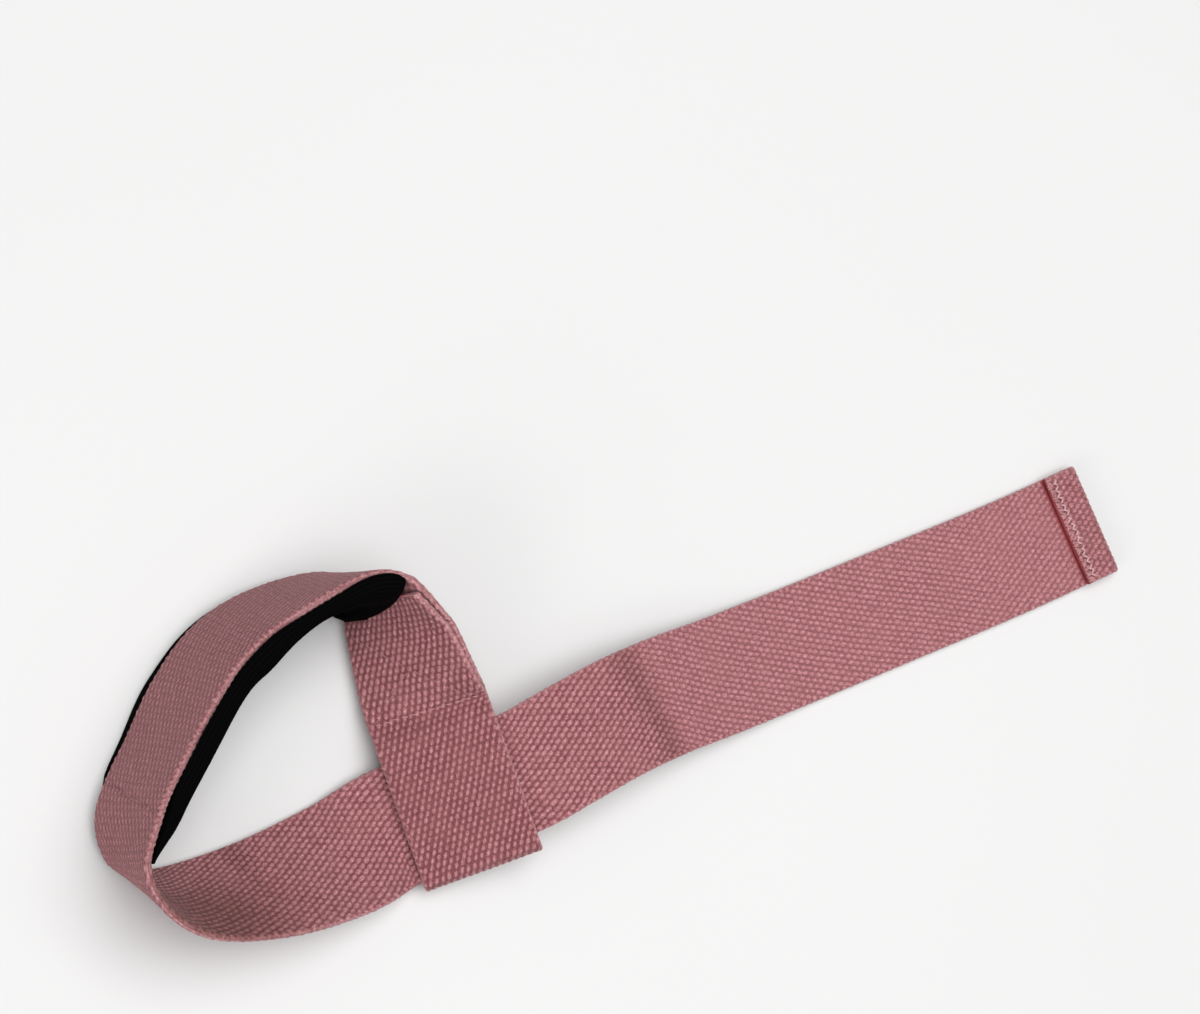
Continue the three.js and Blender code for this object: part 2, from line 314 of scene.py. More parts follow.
# (slant in degrees, half length, half width) of the floats
EYE_FLOAT = np.array([-30, 1.12, 0.67])
LOOP_FLOAT = np.array([20, 1.15, 0.6])
INSIDE_FLOAT = np.array([25, 1.2, 0.71])
MID_TAIL_FLOAT = np.array([-14, 1.06, 0.74])

# Distances from the eye's fold, start and end, over which one look gives way to the next
LOOP_SLANT = (60, 75)
MID_TAIL_SLANT = (402, 414)
TAIL_END_SLANT = (515, 545)
RUB_START = (60, 90)
RUB_END = (228, 245)
TAIL_RUB_START = (400, 416)
RUB = 0.25
# Share by which the weave's colour value is lowered on the eye's outer face below the seam, so that it is
# drawn darker
EYE_DARKENING = 0.1


def float_shape(q, outer):
    """Slant and half sizes of the floats along the band."""
    d = q - MAIN_AT
    loop = smoothstep(d, *LOOP_SLANT)[..., None]
    hem = smoothstep(q, HEM_AT, HEM_AT + 1)[..., None]
    outside = lerp(lerp(EYE_FLOAT, LOOP_FLOAT, loop), INSIDE_FLOAT, hem)
    inside = lerp(INSIDE_FLOAT, MID_TAIL_FLOAT, plateau(d, MID_TAIL_SLANT, TAIL_END_SLANT)[..., None])
    return np.moveaxis(np.where(outer[..., None], outside, inside), -1, 0)


def scatter(i, j, seed):
    """An even, repeatable number from 0 to 1 for each pair of whole numbers."""
    value = np.sin(i * 127.1 + j * 311.7 + seed * 74.7) * 43758.5453
    return value - np.floor(value)


def wander(u, v, seed):
    """A slow wave over the band, from -1 to 1."""
    first = np.sin(u / 23.0 + seed * 2.1 + v / 31.0)
    second = np.sin(u / 9.7 + seed * 5.3 - v / 14.0)
    return 0.65 * first + 0.35 * second


def weave(u, v, shape, seed):
    """Height of the floats from 0 to 1. u runs along the band and v to its left, seen from outside."""
    turn, half_length, half_width = np.radians(shape[0]), shape[1], shape[2]
    u = u + WANDER_ALONG * wander(u, v, seed) + FANNING * v * wander(u / 2.5, v, seed + 3)
    v = v + WANDER_ASIDE * wander(u, v, seed + 7)
    half = FLOAT_PITCH / 2
    row = np.floor(v / ROW_PITCH)
    height = np.zeros_like(u)
    cosine, sine = np.cos(turn), np.sin(turn)
    for row_step in (-1, 0, 1, 2):
        j = row + row_step
        odd = np.mod(j, 2)
        near = np.floor((u / half - odd) / 2)
        for float_step in (0, 1):
            i = 2 * (near + float_step) + odd
            du = u - i * half - FLOAT_JOG * (scatter(i, j, seed + 1) - 0.5)
            dv = v - j * ROW_PITCH - ROW_JOG * (scatter(i, j, seed + 2) - 0.5)
            lengthwise = du * cosine + dv * sine
            crosswise = dv * cosine - du * sine
            size = SMALLEST_SIZE + SIZE_SPREAD * scatter(i, j, seed + 4)
            square = (lengthwise / (half_length * size)) ** 2 + (crosswise / (half_width * size)) ** 2
            crown = np.clip(CROWN_REACH - square, 0, 1) ** CROWN_POWER
            crown = crown * (1 - CROWN_TILT + CROWN_TILT * lengthwise / half_length)
            crown = crown * (LOWEST_FLOAT + HEIGHT_SPREAD * scatter(i, j, seed + 5))
            height = np.maximum(height, crown)
    return height


# The band's section
EDGE_ROUND = 1.1
EDGE_COLUMNS = 9
FACE_HALF = HALF_WIDTH - EDGE_ROUND


def edge_rows(side):
    """The section's rounded edge on one side, from the face that comes before it in the ring."""
    rows = []
    for turn in np.linspace(0, math.pi, EDGE_COLUMNS, endpoint=False):
        sine, cosine = math.sin(turn), math.cos(turn)
        across = side * (FACE_HALF + EDGE_ROUND * sine)
        rows.append((across, side * HALF_THICKNESS * cosine, side * sine, side * cosine, sine))
    return rows


def ring_of(outer_columns, inner_columns):
    """Section of the band: across, thickness, their normals, and 0 on a face to 1 at an edge's middle."""
    outer_face = np.linspace(FACE_HALF, -FACE_HALF, outer_columns, endpoint=False)
    inner_face = np.linspace(-FACE_HALF, FACE_HALF, inner_columns, endpoint=False)
    rows = [(a, -HALF_THICKNESS, 0, -1, 0) for a in outer_face]
    rows += edge_rows(-1)
    rows += [(a, HALF_THICKNESS, 0, 1, 0) for a in inner_face]
    rows += edge_rows(1)
    return np.array(rows)


def segment_distance(u, v, start, stop):
    """Distance from points to the stretch between two points."""
    (u0, v0), (u1, v1) = start, stop
    length = math.hypot(u1 - u0, v1 - v0)
    share = np.clip(((u - u0) * (u1 - u0) + (v - v0) * (v1 - v0)) / length**2, 0, 1)
    return np.hypot(u - lerp(u0, u1, share), v - lerp(v0, v1, share))


# Rows of stitches on the outer face: (start, stop, depth of the dent that the thread pulls into the band).
# Start and stop are (distance, across).
STITCH_END = HALF_WIDTH - 2.2
SEAM_Q = FLAP_LENGTH - EYE_LENGTH
CROSS_Q = SEAM_Q - 28
PAD_START_Q = MAIN_AT + FLAP_LENGTH + 4
PAD_END_Q = MAIN_AT + 195
PAD_END_SKEW = 7.5
EYE_SEAM = ((SEAM_Q, -STITCH_END), (SEAM_Q, STITCH_END), 0.4)
RISING_CROSS = ((SEAM_Q, -STITCH_END), (CROSS_Q, STITCH_END), 0.2)
FALLING_CROSS = ((SEAM_Q, STITCH_END), (CROSS_Q, -STITCH_END), 0.2)
PAD_END_SEAM = ((PAD_END_Q, -HALF_WIDTH + 0.5), (PAD_END_Q + PAD_END_SKEW, HALF_WIDTH - 0.5), 0.4)
PAD_START_SEAM = ((PAD_START_Q, -HALF_WIDTH + 1), (PAD_START_Q, HALF_WIDTH - 1), 0.3)
OUTER_SEAMS = [EYE_SEAM, RISING_CROSS, FALLING_CROSS, PAD_END_SEAM, PAD_START_SEAM]
DENT_REACH = 0.6


def dents(q, a, outer):
    """How far the stitching pulls the band in."""
    pull = np.zeros_like(q)
    for start, stop, depth in OUTER_SEAMS:
        pull = np.maximum(pull, depth * hump(segment_distance(q, a, start, stop), 0, DENT_REACH))
    return np.where(outer, pull, 0)


def band_surface(q, ring):
    """Points of the band's surface for rows at q, with their relief and place for the weave."""
    centre, across, thick = band(q)
    a, t, normal_a, normal_t, edge = (ring[:, k][None, :] for k in range(5))
    rows = q[:, None] + 0 * a
    outer = np.broadcast_to(normal_t < 0, rows.shape)
    left = np.where(outer, a, -a)
    face = weave(rows, left, float_shape(rows, outer), np.where(outer, 1.0, 2.0))
    d = rows - MAIN_AT
    rubbed = np.where(outer, plateau(d, RUB_START, RUB_END), smoothstep(d, *TAIL_RUB_START))
    face = lerp(face, MEAN_RELIEF, RUB * rubbed)
    near_edge = smoothstep(np.abs(a), HALF_WIDTH - SELVEDGE_FROM, HALF_WIDTH - SELVEDGE_FULL)
    cord = 0.5 + 0.5 * np.cos(2 * math.pi * (rows / CORD_PITCH + t / CORD_SLANT + 0.3 * wander(rows, a, 9)))
    cord = cord * (0.7 + 0.3 * np.sin(rows * 1.9 + 2 * np.sin(rows / 5)))
    relief = lerp(face, cord, near_edge)
    scallop = 0.5 + 0.5 * np.cos(2 * math.pi * (rows / SCALLOP_PITCH + 0.25 * wander(rows, a, 11)))
    lift = (relief - MEAN_RELIEF) * lerp(RELIEF, SELVEDGE_RELIEF, near_edge)
    lift = lift + EDGE_SCALLOP * (scallop - 0.6) * edge
    lift = lift - dents(rows, a, outer & (edge < 0.5))
    points = centre[:, None, :]
    points = points + across[:, None, :] * (a + lift * normal_a)[:, :, None]
    points = points + thick[:, None, :] * (t + lift * normal_t)[:, :, None]
    on_eye = outer & (d < LOOP_SLANT[0])
    # The eye's outer face below the seam is drawn darker; this changes only the colour, not the shape
    relief = relief - EYE_DARKENING * on_eye * smoothstep(rows, SEAM_Q - 2, SEAM_Q + 2)
    return points, relief, np.broadcast_to(edge, rows.shape), rows, left, outer


# Painted shade: where the cotton's colour is darkened to stand in for shade, as distances from the eye's
# fold and shares of the full tint
OUTSIDE_PAINTED_SHADE = 0.42
OUTSIDE_SHADE_START = (60, 110)
OUTSIDE_SHADE_END = (225, 245)
BEND_PAINTED_SHADE = 1.3
BEND_MIDDLE = 240
BEND_REACH = 28
BEND_SPREAD = (-18, 12)
STRIPE_PAINTED_SHADE = 0.45
# (distance, slant, reach) of the stripes of painted shade across the inner face
SHADE_STRIPES = [(403, 0.15, 4.5), (265, 0.2, 5)]


def painted_shade(q, left, outer):
    """Share of the painted shade: on the loop's outside, in the bend's inside and in stripes across the
    inner face.
    """
    d = q - MAIN_AT
    outside = OUTSIDE_PAINTED_SHADE * plateau(d, OUTSIDE_SHADE_START, OUTSIDE_SHADE_END)
    bend = BEND_PAINTED_SHADE * hump(d, BEND_MIDDLE, BEND_REACH) * smoothstep(-left, *BEND_SPREAD)
    inside = np.minimum(bend, 1)
    for middle, slant, reach in SHADE_STRIPES:
        inside = np.maximum(inside, STRIPE_PAINTED_SHADE * hump(d + slant * left, middle, reach))
    return np.where(outer, outside, inside)


def grid_mesh(name, points):
    """Closed tube through rings of points, with a fan of triangles over each end."""
    rows, sides = points.shape[:2]
    index = np.arange(rows * sides).reshape(rows, sides)
    first, last, near, far = index[0], index[-1], index[:-1], index[1:]
    quads = np.stack([near, np.roll(near, -1, axis=1), np.roll(far, -1, axis=1), far], axis=-1)
    quads = quads.reshape(-1, 4)
    start_fan = np.stack([np.roll(first, -1), first, np.full(sides, rows * sides)], axis=-1)
    end_fan = np.stack([last, np.roll(last, -1), np.full(sides, rows * sides + 1)], axis=-1)
    fans = np.concatenate([start_fan, end_fan])
    middles = np.stack([points[0].mean(axis=0), points[-1].mean(axis=0)])
    vertices = np.concatenate([points.reshape(-1, 3), middles])
    loops = np.concatenate([quads.reshape(-1), fans.reshape(-1)])
    totals = np.concatenate([np.full(len(quads), 4), np.full(len(fans), 3)])
    starts = np.cumsum(totals) - totals
    mesh = bpy.data.meshes.new(name)
    mesh.vertices.add(len(vertices))
    mesh.vertices.foreach_set("co", vertices.astype(np.float32).ravel() * MM)
    mesh.loops.add(len(loops))
    mesh.loops.foreach_set("vertex_index", loops.astype(np.int32))
    mesh.polygons.add(len(starts))
    mesh.polygons.foreach_set("loop_start", starts.astype(np.int32))
    mesh.polygons.foreach_set("loop_total", totals.astype(np.int32))
    mesh.update(calc_edges=True)
    mesh.polygons.foreach_set("use_smooth", np.ones(len(starts), bool))
    return mesh, loops


def with_middles(values):
    """Values of a grid's points, and their means for the middles of its two ends."""
    return np.concatenate([values.ravel(), [values[0].mean(), values[-1].mean()]])


def tube_normals(points):
    along_ring = np.roll(points, -1, axis=1) - np.roll(points, 1, axis=1)
    along_rows = np.gradient(points, axis=0)
    return unit(np.cross(along_ring, along_rows))


def set_values(mesh, name, values):
    layer = mesh.attributes.new(name, "FLOAT", "POINT")
    layer.data.foreach_set("value", values.astype(np.float32))


def set_uv(mesh, loops, u, v):
    """UV in centimetres, so that one texture scale serves every piece."""
    layer = mesh.uv_layers.new(name="band")
    layer.data.foreach_set("uv", (np.stack([u, v], axis=-1)[loops] / 10).astype(np.float32).ravel())


def add_piece(name, mesh, material, node):
    mesh.materials.append(material)
    piece = bpy.data.objects.new(name, mesh)
    bpy.context.scene.collection.objects.link(piece)
    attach(piece, "root")
    if node:
        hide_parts(node)
    return piece


# How much of the cut yarn's maroon is laid as painted shadow in the groove before the hem's end, and where
# that painted shadow begins
GROOVE_PAINTED_SHADOW = 0.6
GROOVE_FROM = HEM_AT - HEM_LENGTH - 1.1
GROOVE_FULL = HEM_AT - HEM_LENGTH - 0.5


def cut_and_shadow_shares(u, outer, start, stop):
    """1 at the band's two cut ends, whose maroon is partly painted shade, and less as painted shadow in the
    groove before the hem.
    """
    body = np.zeros(u.shape)
    if stop >= BAND_LENGTH:
        body = GROOVE_PAINTED_SHADOW * smoothstep(u, GROOVE_FROM, GROOVE_FULL) * (u < HEM_AT) * ~outer
        body[-1] = 1
    return np.concatenate([body.ravel(), [start <= 0, stop >= BAND_LENGTH]])


def webbing_piece(name, start, stop, outer_columns, inner_columns, step, material):
    """One stretch of the band, closed at both ends."""
    count = round((stop - start) / step)
    size = (stop - start) / count
    q = start + size * np.arange(-1, count + 2)
    surface = band_surface(q, ring_of(outer_columns, inner_columns))
    normals = tube_normals(surface[0])[1:-1]
    points, relief, edge, u, v, outer = (values[1:-1] for values in surface)
    points = points + OFFSET
    mesh, loops = grid_mesh(name, points)
    set_values(mesh, "relief", with_middles(relief))
    set_values(mesh, "edge", with_middles(edge))
    # Painted shade on the loop's outside, in the bend's inside and in stripes across the inner face
    set_values(mesh, "painted_shade", with_middles(painted_shade(u, v, outer)))
    # Cut ends, and painted shadow in the groove before the hem's end
    set_values(mesh, "cut_and_shadow", cut_and_shadow_shares(u, outer, start, stop))
    set_uv(mesh, loops, with_middles(u), with_middles(v))
    middles = points.mean(axis=1)
    caps = unit(np.stack([middles[0] - middles[1], middles[-1] - middles[-2]]))
    mesh.normals_split_custom_set_from_vertices(np.concatenate([normals.reshape(-1, 3), caps]))
    piece = add_piece(name, mesh, material, "webbing_strap")


# Thread: short tubes that follow the band's face
THREAD_SIDES = 6
STITCH_POINTS = 9
STITCH_SINK = 0.35
STITCH_SLANT = 0.22
ZIGZAG_POINTS = 8
ZIGZAG_SINK = 0.3
ZIGZAG_SWAY = 0.9
TUFT_POINTS = 6


def on_band(q, a, lift):
    """Points over the band's outer face, at a lift from the band's middle."""
    centre, across, thick = band(q)
    return centre + across * np.asarray(a)[:, None] - thick * np.asarray(lift)[:, None] + OFFSET


def tube_parts(path, radius):
    """Vertices and faces of a round-ended thread along a path."""
    travel = unit(np.gradient(path, axis=0))
    guide = np.where(np.abs(travel[:, 2:]) > 0.9, np.array([[1.0, 0, 0]]), np.array([[0, 0, 1.0]]))
    side = unit(np.cross(travel, guide))
    top = np.cross(travel, side)
    turn = (np.arange(THREAD_SIDES) * 2 * math.pi / THREAD_SIDES)[None, :, None]
    share = np.linspace(-1, 1, len(path))
    swell = np.sqrt(np.clip(1.02 - share**8, 0.02, 1))[:, None, None]
    spokes = side[:, None, :] * np.cos(turn) + top[:, None, :] * np.sin(turn)
    rings = path[:, None, :] + radius * swell * spokes
    index = np.arange(len(path) * THREAD_SIDES).reshape(-1, THREAD_SIDES)
    near, far = index[:-1], index[1:]
    quads = np.stack([near, far, np.roll(far, -1, axis=1), np.roll(near, -1, axis=1)], axis=-1)
    faces = quads.reshape(-1, 4).tolist()
    faces.append(index[0].tolist())
    faces.append(index[-1][::-1].tolist())
    return rings.reshape(-1, 3), faces


def thread_piece(name, paths, material, radius):
    vertices, faces, count = [], [], 0
    for path in paths:
        points, tube_faces = tube_parts(path, radius)
        vertices.append(points)
        faces += [[k + count for k in face] for face in tube_faces]
        count += len(points)
    mesh = bpy.data.meshes.new(name)
    mesh.from_pydata((np.concatenate(vertices) * MM).tolist(), [], faces)
    mesh.update()
    mesh.polygons.foreach_set("use_smooth", np.ones(len(mesh.polygons), bool))
    add_piece(name, mesh, material, None)


def dashes(seam, pitch, share, height, seed):
    """Arched stitches along a row on the band's outer face."""
    (q0, a0), (q1, a1), _ = seam
    length = math.hypot(q1 - q0, a1 - a0)
    count = int(length / pitch)
    spread = np.linspace(-1, 1, STITCH_POINTS)
    lift = HALF_THICKNESS - STITCH_SINK + height * (1 - spread**4)
    found = []
    for k in range(count):
        jog = 0.25 * (scatter(k, 3, seed) - 0.5)
        s = (k + 0.5 + share * spread / 2) / count
        q = lerp(q0, q1, s) + STITCH_SLANT * spread * (a1 - a0) / length + jog
        a = lerp(a0, a1, s) - STITCH_SLANT * spread * (q1 - q0) / length
        found.append(on_band(q, a, lift))
    return found


def zigzag(first, second, half_width, pitch, height, seed):
    """Zigzag stitching across the band's outer face, to and fro between two distances."""
    count = int(2 * half_width / pitch)
    s = np.linspace(0, 1, ZIGZAG_POINTS)
    lift = HALF_THICKNESS - ZIGZAG_SINK + height * (1 - (2 * s - 1) ** 4)
    found = []
    for k in range(count):
        for half, (start, stop) in enumerate(((first, second), (second, first))):
            sway = ZIGZAG_SWAY * (scatter(k, half, seed) - 0.5)
            drift = ZIGZAG_SWAY * (scatter(k, half, seed + 1) - 0.5)
            a = lerp(-half_width, half_width, (k + (half + s) / 2) / count) + drift
            found.append(on_band(lerp(start, stop, s) + sway, a, lift))
    return found


def tufts(q, count, seed):
    """Short frayed yarn ends over the band's cut end, on its outer face."""
    found = []
    s = np.linspace(0, 1, TUFT_POINTS)
    for k in range(count):
        start = lerp(-HALF_WIDTH + 0.6, HALF_WIDTH - 0.6, (k + 0.7 * scatter(k, 1, seed)) / count)
        lean = 2.4 * (scatter(k, 2, seed) - 0.5)
        reach = 0.5 + 1.6 * scatter(k, 3, seed)
        top = HALF_THICKNESS + 0.05 + 0.35 * scatter(k, 4, seed)
        curl = 0.5 * (scatter(k, 5, seed) - 0.5) * np.sin(math.pi * s)
        lift = lerp(top - scatter(k, 6, seed), top, np.minimum(2 * s, 1))
        found.append(on_band(q + 0.5 - reach * s, start + lean * s + curl, lift))
    return found


# Pad: a soft, rounded bar on the webbing's inner side, a little proud of its two edges

# (across, thickness) of the pad's section, with a lip round each edge of the webbing
PAD_OUTLINE = [
    (18.0, 1.75),
    (19.3, 1.5),
    (19.6, 0.2),
    (20.2, -0.5),
    (20.8, 0.3),
    (21.2, 2.8),
    (21.1, 4.8),
    (20.5, 6.6),
    (18.6, 7.7),
    (14, 8.6),
    (0, 9.3),
    (-14, 9.5),
    (-18.2, 9.2),
    (-20.5, 7.5),
    (-21.6, 5),
    (-22.8, 2.6),
    (-23.4, 0.4),
    (-23.0, -1.4),
    (-21.6, -1.9),
    (-20.4, -1.2),
    (-20.1, 0.4),
    (-19.4, 1.7),
]
PAD_COLUMNS = 150
OUTLINE_SMOOTHING = 6
PAD_ROW_STEP = 0.6
PAD_END_ROWS = 16
PAD_FIRST = -6.5
PAD_LAST = PAD_LENGTH - 1
PAD_START_ROUND = 8
PAD_END_ROUND = 36
PAD_END_POWER = 3.6
TIP_WIDTH = 0.86
TIP_THICKNESS = 0.2
# (distance, reach, change) of the places where the foam is thinner or fuller
PAD_SWELLS = [(31, 12, -0.24), (57, 11, 0.2)]
# The corners of the start: across beyond which each is rounded off, and the share left at the very end
UPPER_CORNER = (-12, 0.15)
LOWER_CORNER = (-15, 0.5)
CORNER_RUN = 10.7
CORNER_POWER = 0.7
# Where each lip sets in, and where both give way to the seam at the pad's end
UPPER_LIP_START = (2, 8)
LOWER_LIP_START = (10, 80)
LIP_END = (104, 116)
LIP_TOP = 1.75
LIP_INSET = 20.8
# The start's tip lies over the flap's end, down to the webbing over this run
FLAP_TOP = SEWN_STEP + HALF_THICKNESS + 0.45
FLAP_RUN = (0.4, 2.6)
RIB_PITCH = 1.35
RIB_HEIGHT = 0.1
RIB_BEAT = 1.6
SLACK_HEIGHT = 0.22
FLOOR_CLEARANCE = 0.02


def pad_outline():
    """The pad's section as an even, smooth ring of (across, thickness)."""
    corners = np.array(PAD_OUTLINE, float)
    closed = np.concatenate([corners, corners[:1]])
    reach = np.concatenate([[0], np.cumsum(np.linalg.norm(np.diff(closed, axis=0), axis=1))])
    even = np.linspace(0, reach[-1], PAD_COLUMNS, endpoint=False)
    ring = np.stack([np.interp(even, reach, closed[:, k]) for k in range(2)], axis=1)
    for _ in range(OUTLINE_SMOOTHING):
        ring = 0.5 * ring + 0.25 * (np.roll(ring, 1, axis=0) + np.roll(ring, -1, axis=0))
    return ring


def pad_rows():
    """Distances along the pad from where the solid pad starts, close together at the two ends."""
    rise = 1 - np.cos(np.linspace(0, math.pi / 2, PAD_END_ROWS))
    start = PAD_FIRST + PAD_START_ROUND
    end = PAD_LAST - PAD_END_ROUND
    middle = np.arange(start + PAD_ROW_STEP, end - PAD_ROW_STEP / 2, PAD_ROW_STEP)
    start_rows = PAD_FIRST + PAD_START_ROUND * rise
    end_rows = PAD_LAST - PAD_END_ROUND * rise[::-1]
    return np.concatenate([start_rows, middle, end_rows])


def pad_swell(s):
    """Share of the full section at each distance along the pad."""
    start = np.sqrt(np.clip(1 - (1 - np.minimum((s - PAD_FIRST) / PAD_START_ROUND, 1)) ** 2, 0, 1))
    end = 1 - (1 - np.minimum((PAD_LAST - s) / PAD_END_ROUND, 1)) ** PAD_END_POWER
    return np.minimum(start, end)


def pad_section(s, ring):
    """(across, thickness) of the pad's ring at each distance along it."""
    swell = pad_swell(s)
    fullness = 1 + sum(change * hump(s, middle, reach) for middle, reach, change in PAD_SWELLS)
    thickness = lerp(TIP_THICKNESS, 1, swell) * fullness
    a = ring[None, :, 0] * lerp(TIP_WIDTH, 1, swell)[:, None]
    t = PAD_BOTTOM + (ring[None, :, 1] - PAD_BOTTOM) * thickness[:, None]
    rounded = (np.clip((s - PAD_FIRST - 0.5) / CORNER_RUN, 0, 1) ** CORNER_POWER)[:, None]
    edge, left = UPPER_CORNER
    a = np.where(a > edge, edge + (a - edge) * lerp(left, 1, rounded), a)
    edge, left = LOWER_CORNER
    a = np.where(a < edge, edge + (a - edge) * lerp(left, 1, np.minimum(1.6 * rounded, 1)), a)
    t = np.maximum(t, (FLAP_TOP * (1 - smoothstep(s, *FLAP_RUN)))[:, None])
    upper_lip = plateau(s, UPPER_LIP_START, LIP_END)[:, None]
    lower_lip = plateau(s, LOWER_LIP_START, LIP_END)[:, None]
    t = lerp(np.maximum(t, LIP_TOP), t, np.where(a < 0, lower_lip, upper_lip))
    return lerp(np.maximum(a, -LIP_INSET), a, lower_lip), t


def pad_piece(material):
    ring = pad_outline()
    s = pad_rows()
    a, t = pad_section(s, ring)
    girth = np.concatenate([[0], np.cumsum(np.linalg.norm(np.diff(ring, axis=0), axis=1))])[None, :]
    beat = 0.75 + 0.25 * np.cos(2 * math.pi * s / RIB_BEAT)
    rib = np.cos(2 * math.pi * girth / RIB_PITCH) * beat[:, None]
    slack = SLACK_HEIGHT * np.sin(s / 6.1)[:, None] * np.sin(girth / 9 + 1)
    lift = (RIB_HEIGHT * rib + slack) * pad_swell(s)[:, None]
    ahead = np.roll(ring, -1, axis=0) - np.roll(ring, 1, axis=0)
    normal = unit(np.stack([ahead[:, 1], -ahead[:, 0]], axis=1))
    a = a + lift * normal[None, :, 0]
    t = t + lift * normal[None, :, 1]
    d = PAD_START + s
    place, across, inward = on_line(LINE, d), unit(on_line(ACROSS, d)), unit(on_line(INWARD, d))
    points = place[:, None] + across[:, None] * a[:, :, None] + inward[:, None] * t[:, :, None] + OFFSET
    points[:, :, 2] = np.maximum(points[:, :, 2], FLOOR_CLEARANCE)
    mesh, loops = grid_mesh("wrist_pad_cover", points[:, ::-1])
    set_values(mesh, "relief", with_middles((rib * 0.5 + 0.5)[:, ::-1]))
    u = s[:, None] + 0 * girth
    v = (girth + 0 * u)[:, ::-1]
    set_uv(mesh, loops, with_middles(u), with_middles(v))
    piece = add_piece("wrist_pad_cover", mesh, material, "wrist_pad")


# Materials


class Nodes:
    """Shorthand for building a material's nodes."""

    def __init__(self, name):
        self.material = bpy.data.materials.new(name)
        self.material.use_nodes = True
        self.tree = self.material.node_tree
        self.tree.nodes.clear()
        self.shader = self.add("ShaderNodeBsdfPrincipled")
        output = self.add("ShaderNodeOutputMaterial")
        self.link(self.shader.outputs[0], output.inputs["Surface"])

    def add(self, kind, **settings):
        node = self.tree.nodes.new(kind)
        for name, value in settings.items():
            setattr(node, name, value)
        return node

    def link(self, source, target):
        self.tree.links.new(source, target)

    def put(self, socket, value):
        if isinstance(value, bpy.types.NodeSocket):
            self.link(value, socket)
        else:
            socket.default_value = value

    def attribute(self, name):
        return self.add("ShaderNodeAttribute", attribute_name=name).outputs["Fac"]

    def mix(self, share, a, b, blend="MIX"):
        node = self.add("ShaderNodeMix", data_type="RGBA", blend_type=blend)
        self.put(node.inputs[0], share)
        self.put(node.inputs[6], a)
        self.put(node.inputs[7], b)
        return node.outputs[2]

    def spread(self, value, low, high, to_low=0.0, to_high=1.0):
        node = self.add("ShaderNodeMapRange")
        for socket, given in zip(node.inputs, (value, low, high, to_low, to_high)):
            self.put(socket, given)
        return node.outputs[0]

    def band_place(self):
        uv = self.add("ShaderNodeUVMap", uv_map="band")
        mapping = self.add("ShaderNodeMapping")
        self.link(uv.outputs[0], mapping.inputs["Vector"])
        return mapping

    def noise(self, place, scale, detail):
        node = self.add("ShaderNodeTexNoise")
        self.link(place, node.inputs["Vector"])
        node.inputs["Scale"].default_value = scale
        node.inputs["Detail"].default_value = detail
        return node.outputs["Fac"]

    def bump(self, height, distance, normal=None):
        node = self.add("ShaderNodeBump")
        node.inputs["Distance"].default_value = distance
        node.inputs["Strength"].default_value = 1.0
        self.link(height, node.inputs["Height"])
        if normal is not None:
            self.link(normal, node.inputs["Normal"])
        return node.outputs[0]


